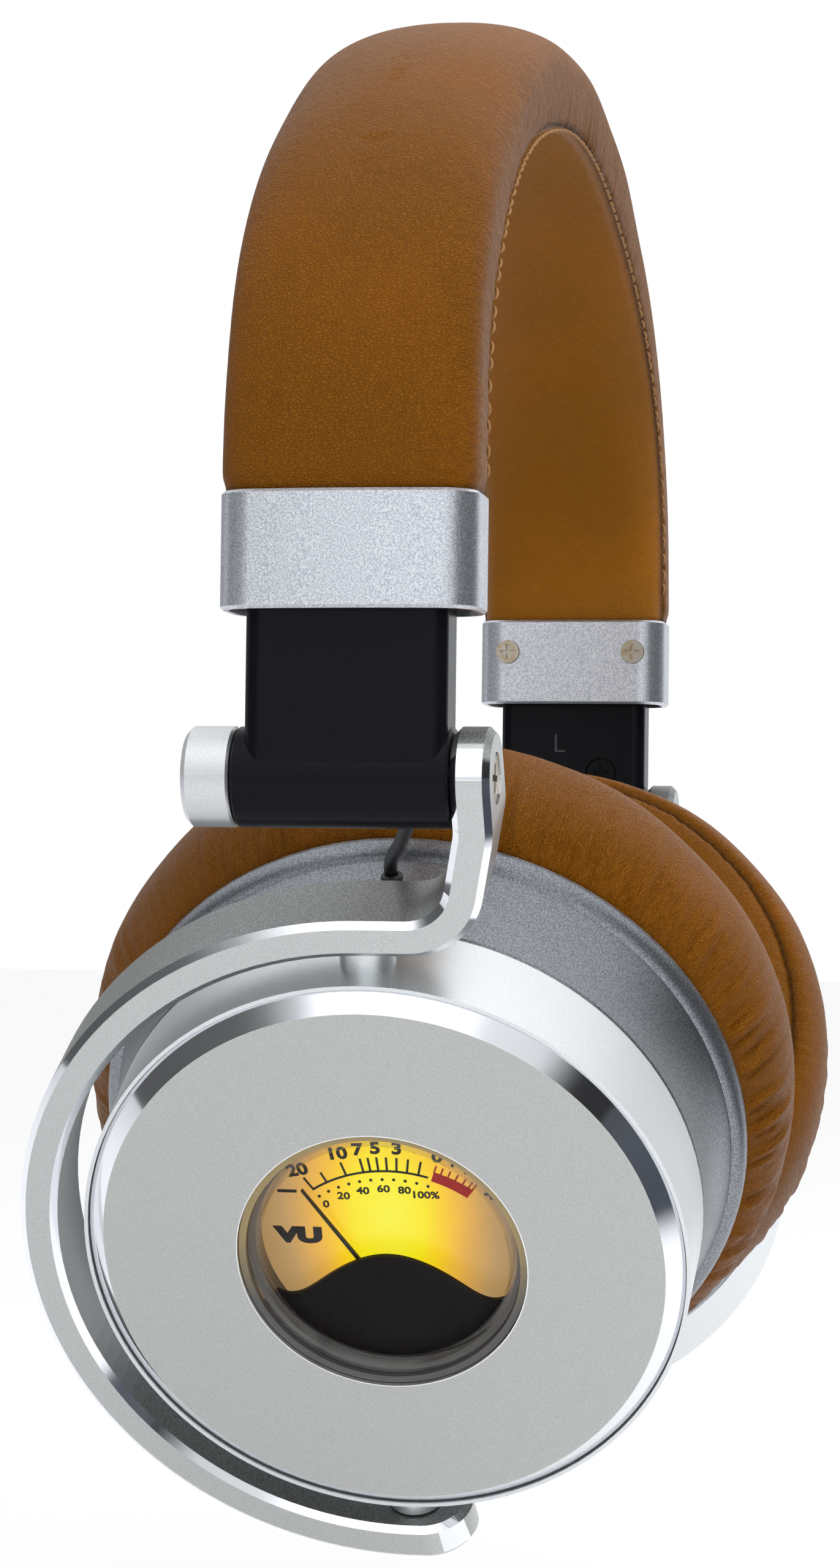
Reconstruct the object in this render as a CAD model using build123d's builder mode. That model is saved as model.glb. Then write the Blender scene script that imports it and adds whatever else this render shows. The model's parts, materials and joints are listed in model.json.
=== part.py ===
"""Over-ear headphones: a padded headband, sliding arms, folding yokes and swivelling cups, each
with a lit needle meter in its outer face.

Frame: millimetres, +Z up, X across the head (the wearer's right is -X), the wearer faces -Y.
The origin is the crown seat, the middle of the pad's underside at the top of the arch.
Each right-hand piece is modelled once, and its left-hand twin is its mirror image in the YZ plane.
"""

import os
from math import cos, radians, sin

from build123d import *

os.makedirs("parts", exist_ok=True)

# ---------------------------------------------------------------- headband
hinge_x = 88.6  # half the distance between the two fold hinges
band_thick = 13.0
band_width = 28.2
band_round = 5.0
crown_height = 57.0  # collar's top edge up to the crown seat
leg_straight = 6.0  # straight part of each leg above its collar
pad_thick = 4.2
pad_width = 21.6
strip_thick = 1.0
strip_width = 18.0
strip_end = 22.4  # lower end of the spring strip above the collar
collar_top = -crown_height
arch_base = collar_top + leg_straight
arch_rise = crown_height - leg_straight + band_thick / 2

# ---------------------------------------------------------------- collar, guide and arm
collar_height = 13.1
collar_outer = 7.0  # middle of the collar's bulged face, outwards from the hinge's plane
collar_inner = 6.5  # collar's flat face, inwards from it
collar_width = 29.0
collar_bulge = 0.9
collar_corner = 4.2
collar_edge = 0.35
collar_wall = 0.95
collar_screw_line = 9.8
collar_screw_drop = 5.0
collar_bottom = collar_top - collar_height
arm_outer = 5.4  # arm's outer face, outwards from the hinge's plane
arm_inner = 3.2  # arm's inner face, inwards from it
arm_width = 22.6
arm_top = 1.0  # top of the arm's thick part above the collar, at rest
arm_corner = 2.0
tongue_outer = 1.0
tongue_width = 16.0
tongue_top = 10.0
slide_in = 11.0
slide_gap = 0.1
sleeve_top = arm_top + slide_in + 0.4  # top of the arm's thick sleeve above the collar
guide_plate = 4.4  # guide's inner face above the collar
guide_width = 24.6
guide_outer = 2.5  # guide's outer face above the collar
guide_step = 21.6  # start of the block that clamps the spring strip
clamp_height = 6.0
clamp_middle = 4.6
clamp_thick = 6.4

# ---------------------------------------------------------------- fold hinge
hinge_z = collar_top - 31.3
barrel_radius = 5.6
barrel_rear = 12.6
barrel_front = 11.6
cap_gap = 0.2
cap_length = 5.4
pin_radius = 2.0
running_gap = 0.05
screw_head = 2.85
screw_shank = 1.2
screw_tap = 0.9
small_head = 1.8
arm_screw_head = 2.2
arm_screw_y = -4.6
arm_screw_rise = 7.5
head_recess = 1.5

# ---------------------------------------------------------------- yoke
yoke_depth = 11.3
yoke_thick = 4.4
yoke_radius = 41.2  # middle of the strap
yoke_chamfer = 0.75
yoke_tip = 10.0  # degrees the strap runs past the lower pivot
lug_line = 14.0  # middle of the upright strap, in front of the middle plane
elbow_line = 11.2
bend_top = 54.0
bend_radius = 7.0
pivot_back = 5.4  # swivel axis behind the disc's edge plane
pivot_drop = 58.7  # fold axis above the cup's middle
pivot_radius = 1.5
boss_radius = 3.2
boss_top = 38.7
pivot_start = 35.0
pivot_end = 42.4

# ---------------------------------------------------------------- cup
cup_tilt = radians(28)  # the cups' bottoms lean inwards at rest
disc_radius = 35.0
disc_face_radius = 32.9
disc_face = 1.9
meter_radius = 17.0
drum_radius = 35.6
crease_radius = 35.85
crease_depth = 12.9
flange_radius = 39.6
flange_back = 28.6
ear_face = 53.6
cushion_radius = 44.6
cushion_opening = 21.5
baffle_radius = 37.3
baffle_front = 26.4
baffle_back = 28.4
baffle_opening = 18.5
baffle_screw_ring = 33.2
cable_depth = 22.0  # cable's hole behind the disc's edge plane
cable_radius = 0.7
grommet_radius = 1.3
cable_end = 44.0
port_depth = 19.0  # ports' middle behind the disc's edge plane
port_angle = -64.0
port_face = 36.4
switch_angle = -47.0
switch_travel = 3.0
switch_length = 2.6
switch_width = 1.6
port_length = 9.2
port_width = 3.4
board_radius = 26.0
socket_radius = 3.0
jack_radius = 1.8
jack_depth = 14.0
fit_gap = 0.05

# ---------------------------------------------------------------- meter
needle_drop = 9.0  # needle's pivot below the dial's middle
needle_length = 18.2
needle_rest = 33.0  # degrees left of upright, at the low end of the scale
dial_front = -4.3
dial_thick = 0.6
dial_back = dial_front - dial_thick
mask_back = -2.6
mask_thick = 0.6
needle_back = -3.7
needle_thick = 0.4
staff_radius = 0.4
staff_bore = 0.45

front = Vector(0, -1, 0)
cup_out = Vector(-cos(cup_tilt), 0, -sin(cup_tilt))
cup_up = Vector(-sin(cup_tilt), 0, cos(cup_tilt))
fold_point = Vector(-hinge_x, 0, hinge_z)
cup_centre = fold_point - cup_up * pivot_drop + cup_out * pivot_back
cup_axis = Axis(cup_centre, cup_out)
section_plane = Plane(cup_centre, x_dir=cup_up, z_dir=front)
hinge_plane = Plane(fold_point, x_dir=Vector(-1, 0, 0), z_dir=front)
pivot_plane = Plane(cup_centre - cup_out * pivot_back, x_dir=front, z_dir=cup_up)
from_base = (Align.CENTER, Align.CENTER, Align.MIN)


def cup_plane(height):
    """Plane square to the cup's axis: x to the wearer's front, y up the cup, z outwards."""
    return Plane(cup_centre + cup_out * height, x_dir=front, z_dir=cup_out)


def radial_plane(angle, height):
    """Plane on the cup's axis that faces outwards at an angle: x round the cup, y along its axis."""
    outwards = front * cos(radians(angle)) + cup_up * sin(radians(angle))
    return Plane(cup_centre + cup_out * height, x_dir=cup_out.cross(outwards), z_dir=outwards)


def shifted(plane, x, y):
    """Copy of a plane with its origin moved within the plane."""
    return Plane(plane.origin + plane.x_dir * x + plane.y_dir * y, x_dir=plane.x_dir, z_dir=plane.z_dir)


def bar(plane, radius, start, end, mode=Mode.ADD):
    """Round bar along a plane's normal between two offsets."""
    with Locations(plane.offset(start)):
        Cylinder(radius, end - start, align=from_base, mode=mode)


def block(plane, size_x, size_y, start, end, mode=Mode.ADD):
    """Rectangular bar along a plane's normal between two offsets."""
    with Locations(plane.offset(start)):
        Box(size_x, size_y, end - start, align=from_base, mode=mode)


def cross_slot(plane, reach, width, depth):
    """Cross-head recess cut into a screw's face."""
    for size_x, size_y in ((reach, width), (width, reach)):
        block(plane, size_x, size_y, -depth, 0.1, Mode.SUBTRACT)


def export(part, name):
    part.label = name
    export_step(part, f"parts/{name}.step")


def export_left(part, name):
    """Write the mirror image of a piece modelled on the right-hand side."""
    with BuildPart() as twin:
        mirror(part, about=Plane.YZ)
    export(twin.part, f"left_{name}")


def export_pair(part, name):
    """Write the right-hand piece and its left-hand twin."""
    export(part, f"right_{name}")
    export_left(part, name)


def turned(outline):
    """Solid of revolution about the cup's axis from (radius, height) corners."""
    with BuildPart() as body:
        with BuildSketch(section_plane):
            with BuildLine():
                Polyline(*outline, close=True)
            make_face()
        revolve(axis=cup_axis)
    return body


# ================================================================ headband
def arch(thickness, width, offset=0.0):
    """Bent slab that follows the headband at an inward offset from its middle."""
    half_span = hinge_x - offset
    with BuildPart() as slab:
        with BuildSketch(Plane.XZ):
            with BuildLine():
                Line((half_span, collar_top), (half_span, arch_base))
                EllipticalCenterArc((0, arch_base), half_span, arch_rise - offset, 0, arc_size=180)
                Line((-half_span, arch_base), (-half_span, collar_top))
            trace(line_width=thickness)
        extrude(amount=width / 2, both=True)
    return slab


def leg_box(outer, inner, width, bottom, top, gap=0.0, mode=Mode.ADD):
    """Box in the right-hand leg from its outer to its inner face, at heights above the collar."""
    with Locations((-hinge_x - (outer - inner) / 2, 0, collar_top + bottom)):
        Box(outer + inner + 2 * gap, width + 2 * gap, top - bottom, align=from_base, mode=mode)


band = arch(band_thick, band_width)
pad_zone = arch(pad_thick, pad_width, (band_thick - pad_thick) / 2)
strip_zone = arch(strip_thick + 2 * fit_gap, strip_width + 2 * fit_gap)
spring = arch(strip_thick, strip_width)

with BuildPart() as band_form:
    add(band.part)
    above_collars = band_form.edges().filter_by_position(Axis.Z, collar_top + 0.1, band_thick + 1)
    fillet([edge for edge in above_collars if edge.bounding_box().size.Y < 1], band_round)

with BuildPart() as leg_hollow:
    leg_box(arm_outer, arm_inner, arm_width, 0, sleeve_top, slide_gap)
    leg_box(guide_outer, guide_plate, guide_width, 0, guide_step, slide_gap)
    leg_box(clamp_thick / 2 - clamp_middle, clamp_middle + clamp_thick / 2, guide_width,
            guide_step - slide_gap, guide_step + clamp_height + slide_gap, slide_gap)
with BuildPart() as hollows:
    add(leg_hollow.part)
    mirror(leg_hollow.part, about=Plane.YZ)

with BuildPart() as headband_pad:
    add(band_form.part)
    add(pad_zone.part, mode=Mode.INTERSECT)
    add(hollows.part, mode=Mode.SUBTRACT)
export(headband_pad.part, "headband_pad")

with BuildPart() as headband_cover:
    add(band_form.part)
    add(pad_zone.part, mode=Mode.SUBTRACT)
    add(strip_zone.part, mode=Mode.SUBTRACT)
    add(hollows.part, mode=Mode.SUBTRACT)
export(headband_cover.part, "headband_cover")

with BuildPart() as headband_spring:
    add(spring.part)
    split(bisect_by=Plane.XY.offset(collar_top + strip_end), keep=Keep.TOP)
export(headband_spring.part, "headband_spring")


# ================================================================ collar and guide
def collar_prism(inset, bottom, top):
    """Upright prism of the right-hand collar's outline: bulged outside, flat inside."""
    half_y = collar_width / 2 - inset
    face_x = -hinge_x - collar_outer + inset
    corner_x = face_x + collar_bulge
    inner_x = -hinge_x + collar_inner - inset
    with BuildPart() as prism:
        with BuildSketch(Plane.XY.offset(bottom)) as outline:
            with BuildLine():
                ThreePointArc((corner_x, half_y), (face_x, 0), (corner_x, -half_y))
                Line((corner_x, -half_y), (inner_x, -half_y))
                Line((inner_x, -half_y), (inner_x, half_y))
                Line((inner_x, half_y), (corner_x, half_y))
            make_face()
            fillet(outline.vertices(), collar_corner - inset)
        extrude(amount=top - bottom)
    return prism


collar_face = Plane(
    (-hinge_x + collar_inner, 0, collar_top - collar_screw_drop), x_dir=(0, 1, 0), z_dir=(1, 0, 0)
)
collar_screw_planes = [shifted(collar_face, side * collar_screw_line, 0) for side in (-1, 1)]
collar_form = collar_prism(0, collar_bottom, collar_top)
collar_core = collar_prism(collar_wall, collar_bottom, collar_top)
guide_core = collar_prism(collar_wall + fit_gap, collar_bottom + 0.5, collar_top)

with BuildPart() as collar:
    add(collar_form.part)
    chamfer(collar.faces().filter_by(Plane.XY).edges(), collar_edge)
    add(collar_core.part, mode=Mode.SUBTRACT)
    for plane in collar_screw_planes:
        bar(plane, screw_tap + fit_gap, -collar_wall - 0.5, 1, Mode.SUBTRACT)
        bar(plane, small_head + fit_gap, -0.45, 1, Mode.SUBTRACT)
export_pair(collar.part, "collar")

with BuildPart() as collar_screw_pair:
    for plane in collar_screw_planes:
        bar(plane, screw_tap, -2.8, -0.4)
        bar(plane, small_head, -0.4, 0.35)
        cross_slot(plane.offset(0.35), 2.2, 0.5, 0.5)
with BuildPart() as collar_screws:
    add(collar_screw_pair.part)
    mirror(collar_screw_pair.part, about=Plane.YZ)
export(collar_screws.part, "collar_screws")

with BuildPart() as slider_guide:
    add(guide_core.part)
    leg_box(guide_outer, guide_plate, guide_width, 0, guide_step)
    leg_box(clamp_thick / 2 - clamp_middle, clamp_middle + clamp_thick / 2, guide_width,
            guide_step, guide_step + clamp_height)
    leg_box(arm_outer, arm_inner, arm_width, -collar_height, sleeve_top, slide_gap, Mode.SUBTRACT)
    leg_box(tongue_outer, arm_inner, tongue_width, 0, guide_step - 0.2, slide_gap, Mode.SUBTRACT)
    add(strip_zone.part, mode=Mode.SUBTRACT)
    for plane in collar_screw_planes:
        bar(plane, screw_tap + 0.01, -2.85, 0, Mode.SUBTRACT)
export_pair(slider_guide.part, "slider_guide")

# ================================================================ arm and fold hinge
arm_middle = -hinge_x - (arm_outer - arm_inner) / 2
arm_screw_plane = Plane(
    (-hinge_x + arm_inner, arm_screw_y, hinge_z + arm_screw_rise), x_dir=(0, 1, 0), z_dir=(1, 0, 0)
)
with BuildPart() as slider_arm:
    with BuildSketch(Plane.XY.offset(hinge_z - 0.5)):
        with Locations((arm_middle, 0)):
            RectangleRounded(arm_outer + arm_inner, arm_width, arm_corner)
    extrude(amount=collar_top + arm_top - hinge_z + 0.5)
    leg_box(tongue_outer, arm_inner, tongue_width, 0, tongue_top)
    bar(hinge_plane, barrel_radius, -barrel_rear, barrel_front)
    barrel_ends = slider_arm.faces().filter_by(Plane.XZ).sort_by(Axis.Y)
    chamfer(barrel_ends[0].edges() + barrel_ends[-1].edges(), 0.25)
    bar(hinge_plane, pin_radius + running_gap, -barrel_rear - 1, barrel_front + 1, Mode.SUBTRACT)
    bar(arm_screw_plane, screw_tap, -4.0, 0, Mode.SUBTRACT)
    bar(arm_screw_plane, arm_screw_head + 0.2, -0.9, 1, Mode.SUBTRACT)
export_pair(slider_arm.part, "slider_arm")

with BuildPart() as slider_screw:
    bar(arm_screw_plane, screw_tap - 0.01, -3.9, -0.9)
    bar(arm_screw_plane, arm_screw_head, -0.9, -0.2)
    cross_slot(arm_screw_plane.offset(-0.2), 2.4, 0.5, 0.4)
export_pair(slider_screw.part, "slider_screw")

lug_rear = lug_line - yoke_thick / 2
lug_front = lug_line + yoke_thick / 2
cap_front = -barrel_rear - cap_gap
cap_rear = cap_front - cap_length
with BuildPart() as hinge_pin:
    bar(hinge_plane, pin_radius, cap_front - 3.4, lug_rear)
    bar(hinge_plane, screw_shank + 0.01, lug_rear - 6, lug_rear, Mode.SUBTRACT)
export_pair(hinge_pin.part, "hinge_pin")

with BuildPart() as hinge_cap:
    bar(hinge_plane, barrel_radius, cap_rear, cap_front)
    cap_ends = hinge_cap.faces().filter_by(Plane.XZ).sort_by(Axis.Y)
    chamfer(cap_ends[-1].edges(), 0.6)
    chamfer(cap_ends[0].edges(), 0.25)
    bar(hinge_plane, pin_radius + 0.01, cap_front - 3.4, cap_front + 1, Mode.SUBTRACT)
export_pair(hinge_cap.part, "hinge_cap")

with BuildPart() as hinge_screw:
    bar(hinge_plane, screw_shank, lug_rear - 5.6, lug_front - head_recess)
    bar(hinge_plane, screw_head, lug_front - head_recess, lug_front - 0.2)
    cross_slot(hinge_plane.offset(lug_front - 0.2), 3.2, 0.7, 0.9)
export_pair(hinge_screw.part, "hinge_screw")

# ================================================================ yoke and pivots
lug_top = pivot_drop + yoke_depth / 2
with BuildPart() as yoke:
    with BuildSketch(cup_plane(yoke_depth / 2 - pivot_back)):
        with BuildLine():
            FilletPolyline(
                (lug_line, lug_top), (lug_line, bend_top), (elbow_line, yoke_radius), (0, yoke_radius),
                radius=bend_radius,
            )
            CenterArc((0, 0), yoke_radius, 90, 180)
            CenterArc((0, 0), yoke_radius, 270, yoke_tip)
        trace(line_width=yoke_thick)
    extrude(amount=-yoke_depth)
    straight_edges = yoke.edges().filter_by(GeomType.LINE)
    end_edges = straight_edges.filter_by(lambda edge: abs(edge.length - yoke_thick) < 0.01)
    fillet(end_edges, yoke_depth / 2 - 0.05)
    outer_face = yoke.faces().sort_by(cup_axis)[-1]
    chamfer(outer_face.edges(), yoke_chamfer)
    bar(pivot_plane, pivot_radius + 0.01, boss_top, pivot_end, Mode.SUBTRACT)
    bar(pivot_plane, pivot_radius + 0.01, -pivot_end, -boss_top, Mode.SUBTRACT)
    bar(hinge_plane, screw_shank + fit_gap, lug_rear - 1, lug_front + 1, Mode.SUBTRACT)
    bar(hinge_plane, screw_head + fit_gap, lug_front - head_recess, lug_front + 1, Mode.SUBTRACT)
export_pair(yoke.part, "yoke")

with BuildPart() as pivot_pins:
    bar(pivot_plane, pivot_radius, pivot_start, pivot_end - fit_gap)
    bar(pivot_plane, pivot_radius, fit_gap - pivot_end, -pivot_start)
export_pair(pivot_pins.part, "pivot_pins")

# ================================================================ cup housing and ports
grommet_plane = radial_plane(90, -cable_depth)
port_plane = radial_plane(port_angle, -port_depth)
switch_plane = radial_plane(switch_angle, -port_depth)
screw_planes = [
    shifted(cup_plane(0), baffle_screw_ring * cos(radians(angle)), baffle_screw_ring * sin(radians(angle)))
    for angle in (45, 135, 225, 315)
]

with BuildPart() as shell:
    with BuildSketch(section_plane):
        with BuildLine():
            Polyline(
                (35.15, 0.3), (drum_radius, 0.3), (crease_radius - 0.05, 0.3 - crease_depth),
                (crease_radius - 0.35, -crease_depth), (crease_radius, -crease_depth - 0.3),
            )
            ThreePointArc((crease_radius, -crease_depth - 0.3), (36.35, -20), (37.9, -26))
            ThreePointArc((37.9, -26), (39.2, -27), (flange_radius, -28))
            Polyline(
                (flange_radius, -28), (flange_radius, -flange_back), (baffle_radius + 0.1, -flange_back),
                (baffle_radius + 0.1, -baffle_front), (31, -baffle_front), (31, -24.4), (34.6, -18.5),
                (34.2, -crease_depth), (34, -3.4), (31, -3.4), (31, -1.9), (35.15, -1.9), (35.15, 0.3),
            )
        make_face()
    revolve(axis=cup_axis)
    bar(pivot_plane, boss_radius, 34.3, boss_top)
    bar(pivot_plane, boss_radius, -boss_top, -34.3)
    bar(pivot_plane, pivot_radius + running_gap, 33, boss_top + 1, Mode.SUBTRACT)
    bar(pivot_plane, pivot_radius + running_gap, -boss_top - 1, -33, Mode.SUBTRACT)
    bar(grommet_plane, grommet_radius + fit_gap, 29, 40, Mode.SUBTRACT)
    for plane in screw_planes:
        bar(plane, screw_tap + 0.01, -baffle_front, 0.1 - 24.4, Mode.SUBTRACT)

with BuildPart() as right_housing:
    add(shell.part)
    with BuildSketch(port_plane.offset(28)):
        SlotOverall(port_length + 2 * fit_gap, port_width + 2 * fit_gap)
    extrude(amount=12, mode=Mode.SUBTRACT)
    with Locations(switch_plane.offset(30)):
        with Locations((switch_travel / 2, 0)):
            slot_length = switch_length + switch_travel + 0.3
            Box(slot_length, switch_width + 0.2, 10, align=from_base, mode=Mode.SUBTRACT)
export(right_housing.part, "right_cup_housing")

with BuildPart() as left_housing:
    add(shell.part)
    bar(port_plane, socket_radius + fit_gap, 28, 40, Mode.SUBTRACT)
export_left(left_housing.part, "cup_housing")

with BuildPart() as charge_port:
    with BuildSketch(port_plane.offset(28)):
        SlotOverall(port_length, port_width)
    extrude(amount=port_face - 28)
    with BuildSketch(port_plane.offset(port_face)):
        SlotOverall(port_length - 0.9, port_width - 0.9)
    extrude(amount=-6.5, mode=Mode.SUBTRACT)
    block(port_plane, port_length - 3, 0.7, port_face - 6.5, port_face - 1.2)
export(charge_port.part, "charge_port")

with BuildPart() as noise_switch:
    block(switch_plane, 2 * switch_length, 2.8, 31.4, 32.6)
    block(switch_plane, switch_length, switch_width, 32.6, 37.3)
    nub_face = noise_switch.faces().sort_by(Axis(switch_plane.origin, switch_plane.z_dir))[-1]
    fillet(nub_face.edges(), 0.3)
export(noise_switch.part, "noise_switch")

with BuildPart() as audio_socket:
    bar(port_plane, socket_radius, port_face - jack_depth - 1, port_face)
    bar(port_plane, jack_radius, port_face - jack_depth, port_face + 1, Mode.SUBTRACT)
export_left(audio_socket.part, "audio_socket")

with BuildPart() as grommet:
    bar(grommet_plane, grommet_radius, 33, 38.2)
    fillet(grommet.faces().sort_by(Axis(cup_centre, cup_up))[-1].edges(), 0.4)
    bar(grommet_plane, cable_radius + fit_gap, 30, 40, Mode.SUBTRACT)
export_pair(grommet.part, "grommet")

with BuildPart() as link_cable:
    bar(grommet_plane, cable_radius, 29.3, cable_end)
    bar(grommet_plane, 1.5, 29.3, 31.3)
export_pair(link_cable.part, "link_cable")

# ================================================================ face disc and meter
face_disc = turned([
    (meter_radius, disc_face), (disc_face_radius, disc_face), (disc_radius, -0.1), (disc_radius, -1.8),
    (30.5, -1.8), (30.5, -0.3), (19, -0.3), (19, -1.8), (meter_radius, -1.8),
])
export_pair(face_disc.part, "face_disc")

meter_bezel = turned([
    (16.1, 1.3), (meter_radius - fit_gap, 1.3), (meter_radius - fit_gap, dial_front + 0.1),
    (15.4, dial_front + 0.1), (15.4, -1), (16.1, -1),
])
export_pair(meter_bezel.part, "meter_bezel")

meter_lens = turned([(0, -0.95), (16, -0.95), (16, 0.6), (15, 0.6), (14.6, 0.2), (0, 0.2)])
export_pair(meter_lens.part, "meter_lens")

with BuildPart() as meter_mask:
    with BuildSketch(cup_plane(mask_back)):
        with BuildLine():
            Spline(
                (-13.78, -6.65), (-12.3, -7.2), (-8, -5), (-0.4, -1.6), (8, -5), (12.3, -7.2), (13.78, -6.65),
            )
            ThreePointArc((13.78, -6.65), (0, -15.3), (-13.78, -6.65))
        make_face()
    extrude(amount=mask_thick)
export_pair(meter_mask.part, "meter_mask")

staff_plane = shifted(cup_plane(0), 0, -needle_drop)
with BuildPart() as meter_dial:
    bar(cup_plane(0), meter_radius - 0.1, dial_back, dial_front)
    bar(staff_plane, staff_bore, dial_back - 1, dial_front + 1, Mode.SUBTRACT)
export_pair(meter_dial.part, "meter_dial")

movement_form = turned([
    (0, -11), (11, -11), (11, -5.7), (18.9, -5.7), (18.9, -1.8), (meter_radius, -1.8),
    (meter_radius, dial_back), (0, dial_back),
])
with BuildPart() as meter_movement:
    add(movement_form.part)
    bar(staff_plane, staff_bore, -8, dial_back + 1, Mode.SUBTRACT)
export_pair(meter_movement.part, "meter_movement")


def needle(lean):
    """Pointer on its staff, leaning towards the wearer's front by an angle in degrees."""
    across = front * cos(radians(lean)) - cup_up * sin(radians(lean))
    plane = Plane(staff_plane.origin + cup_out * needle_back, x_dir=across, z_dir=cup_out)
    with BuildPart() as pointer:
        with BuildSketch(plane):
            with BuildLine():
                Polyline(
                    (-0.28, -1.6), (0.28, -1.6), (0.12, needle_length), (-0.12, needle_length), close=True
                )
            make_face()
            Circle(1.2)
        extrude(amount=needle_thick)
        bar(plane, staff_radius, -3.4, 0)
    return pointer


export(needle(-needle_rest).part, "right_meter_needle")
export_left(needle(needle_rest).part, "meter_needle")

# ================================================================ drive unit and ear cushion
baffle_form = turned([
    (baffle_opening, -baffle_front), (baffle_radius, -baffle_front), (baffle_radius, -baffle_back),
    (baffle_opening, -baffle_back),
])
with BuildPart() as baffle:
    add(baffle_form.part)
    for plane in screw_planes:
        bar(plane, screw_tap + 0.1, -baffle_back - 1, -baffle_front + 1, Mode.SUBTRACT)
        bar(plane, 2.3, -baffle_back - 1, -27.5, Mode.SUBTRACT)
export_pair(baffle.part, "baffle")

with BuildPart() as housing_screws:
    for plane in screw_planes:
        bar(plane, screw_tap, -27.5, -24.8)
        bar(plane, 2.2, -baffle_back + 0.1, -27.5)
        head_face = plane.origin - cup_out * (baffle_back - 0.1)
        cross_slot(Plane(head_face, x_dir=front, z_dir=-cup_out), 2.6, 0.5, 0.5)
export_pair(housing_screws.part, "housing_screws")

driver = turned([
    (0, -25.6), (18.2, -25.6), (18.2, -baffle_front), (20.5, -baffle_front), (20.5, -24.4), (17, -20),
    (11.5, -18.5), (11.5, -14.5), (0, -14.5),
])
export_pair(driver.part, "driver")

driver_cloth = turned([(0, -baffle_back), (24.4, -baffle_back), (24.4, -29.2), (0, -29.2)])
export_pair(driver_cloth.part, "driver_cloth")

cushion_ring = turned([(25, -baffle_back), (36, -baffle_back), (36, -30.4), (25, -30.4)])
export_pair(cushion_ring.part, "cushion_ring")

with BuildPart() as cushion:
    with BuildSketch(section_plane) as section:
        with BuildLine():
            Polyline(
                (36.3, -28.75), (flange_radius, -28.75), (cushion_radius, -38), (cushion_radius, -ear_face),
                (cushion_opening, -ear_face), (cushion_opening, -38), (24.6, -30.5), (36.3, -30.5),
                close=True,
            )
        make_face()
        corners = section.vertices().group_by(Axis.Y)
        ear_corners = corners[0].sort_by(Axis.X)
        fillet(ear_corners[-1], 9.5)
        fillet(ear_corners[0], 8)
        fillet(corners[1].sort_by(Axis.X)[-1], 8)
    revolve(axis=cup_axis)
export_pair(cushion.part, "cushion")

# ================================================================ electronics
with BuildPart() as circuit_board:
    bar(cup_plane(0), board_radius, -12.2, -11)
export(circuit_board.part, "circuit_board")

with BuildPart() as battery:
    with Locations(cup_plane(-11.7)):
        with Locations((0, 19.8)):
            Box(26, 16.4, 6, align=from_base)
    fillet(battery.edges(), 0.8)
export_left(battery.part, "battery")
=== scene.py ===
"""Looks of the over-ear headphones: leather, anodised metal, lit meters, camera and studio.

Lengths are in metres. Places on an ear cup are (u, v, h) in millimetres from the middle of its
outer disc: u to the wearer's front, v up the cup and h outwards along the cup's axis.
"""

import json
import math
from math import cos, pi, radians, sin

import bmesh
import bpy
from mathutils import Matrix, Vector, noise


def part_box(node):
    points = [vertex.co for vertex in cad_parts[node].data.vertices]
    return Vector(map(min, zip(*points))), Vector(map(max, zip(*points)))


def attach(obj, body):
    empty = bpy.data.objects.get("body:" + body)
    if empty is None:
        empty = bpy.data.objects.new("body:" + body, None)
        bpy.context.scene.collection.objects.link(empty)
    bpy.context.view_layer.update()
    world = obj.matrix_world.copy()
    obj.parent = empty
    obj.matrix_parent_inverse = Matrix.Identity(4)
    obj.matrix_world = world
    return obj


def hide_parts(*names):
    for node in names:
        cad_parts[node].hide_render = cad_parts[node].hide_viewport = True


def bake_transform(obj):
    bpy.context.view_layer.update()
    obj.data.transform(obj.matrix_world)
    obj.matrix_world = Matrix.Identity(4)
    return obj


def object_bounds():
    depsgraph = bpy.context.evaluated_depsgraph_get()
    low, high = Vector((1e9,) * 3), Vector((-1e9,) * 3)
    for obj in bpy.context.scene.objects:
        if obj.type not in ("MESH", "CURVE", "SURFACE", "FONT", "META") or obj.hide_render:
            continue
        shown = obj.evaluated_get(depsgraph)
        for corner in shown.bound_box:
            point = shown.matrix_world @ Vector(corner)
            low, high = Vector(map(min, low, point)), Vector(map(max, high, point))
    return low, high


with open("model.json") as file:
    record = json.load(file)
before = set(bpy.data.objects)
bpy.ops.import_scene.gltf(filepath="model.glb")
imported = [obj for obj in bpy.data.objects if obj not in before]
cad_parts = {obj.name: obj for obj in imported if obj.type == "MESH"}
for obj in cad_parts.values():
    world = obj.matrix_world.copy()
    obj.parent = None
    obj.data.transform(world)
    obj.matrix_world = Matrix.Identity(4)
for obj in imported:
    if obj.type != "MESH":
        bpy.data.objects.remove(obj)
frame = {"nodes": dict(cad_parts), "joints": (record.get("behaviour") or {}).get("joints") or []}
cad_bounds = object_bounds()
joints = {joint["name"]: joint for joint in frame["joints"]}
nodes = frame["nodes"]

mm = 0.001
sides = ("right", "left")
scene = bpy.context.scene

# -------- driving dimensions
pivot_back = 5.4  # swivel axis behind the disc's edge plane, mm
disc_face_radius = 32.9
meter_radius = 17.0
crease_depth = 12.9
grommet_depth = 22.0
dial_front = -4.3
print_low = dial_front + 0.02  # the dial's print lies between these depths
print_high = dial_front + 0.06
scale_centre = (0.2, -7.3)
scale_radius = 15.8
scale_low_angle = 123.9
scale_degrees = 52.6  # needle travel from no signal to the 0 mark
crown_height = 57.0
leg_straight = 6.0
hinge_x = abs(joints["right_fold"]["pos_m"][0]) / mm
band_half = 6.5
collar_half_width = 14.45
arm_half_thickness = 3.2
cable_radius = 0.8
arch_rise = crown_height - leg_straight + band_half
lowest = cad_bounds[0][2]
floor_drop = 0.031  # clears the cups when both arms are slid fully out and folded outwards
floor_reach = 6.0


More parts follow.
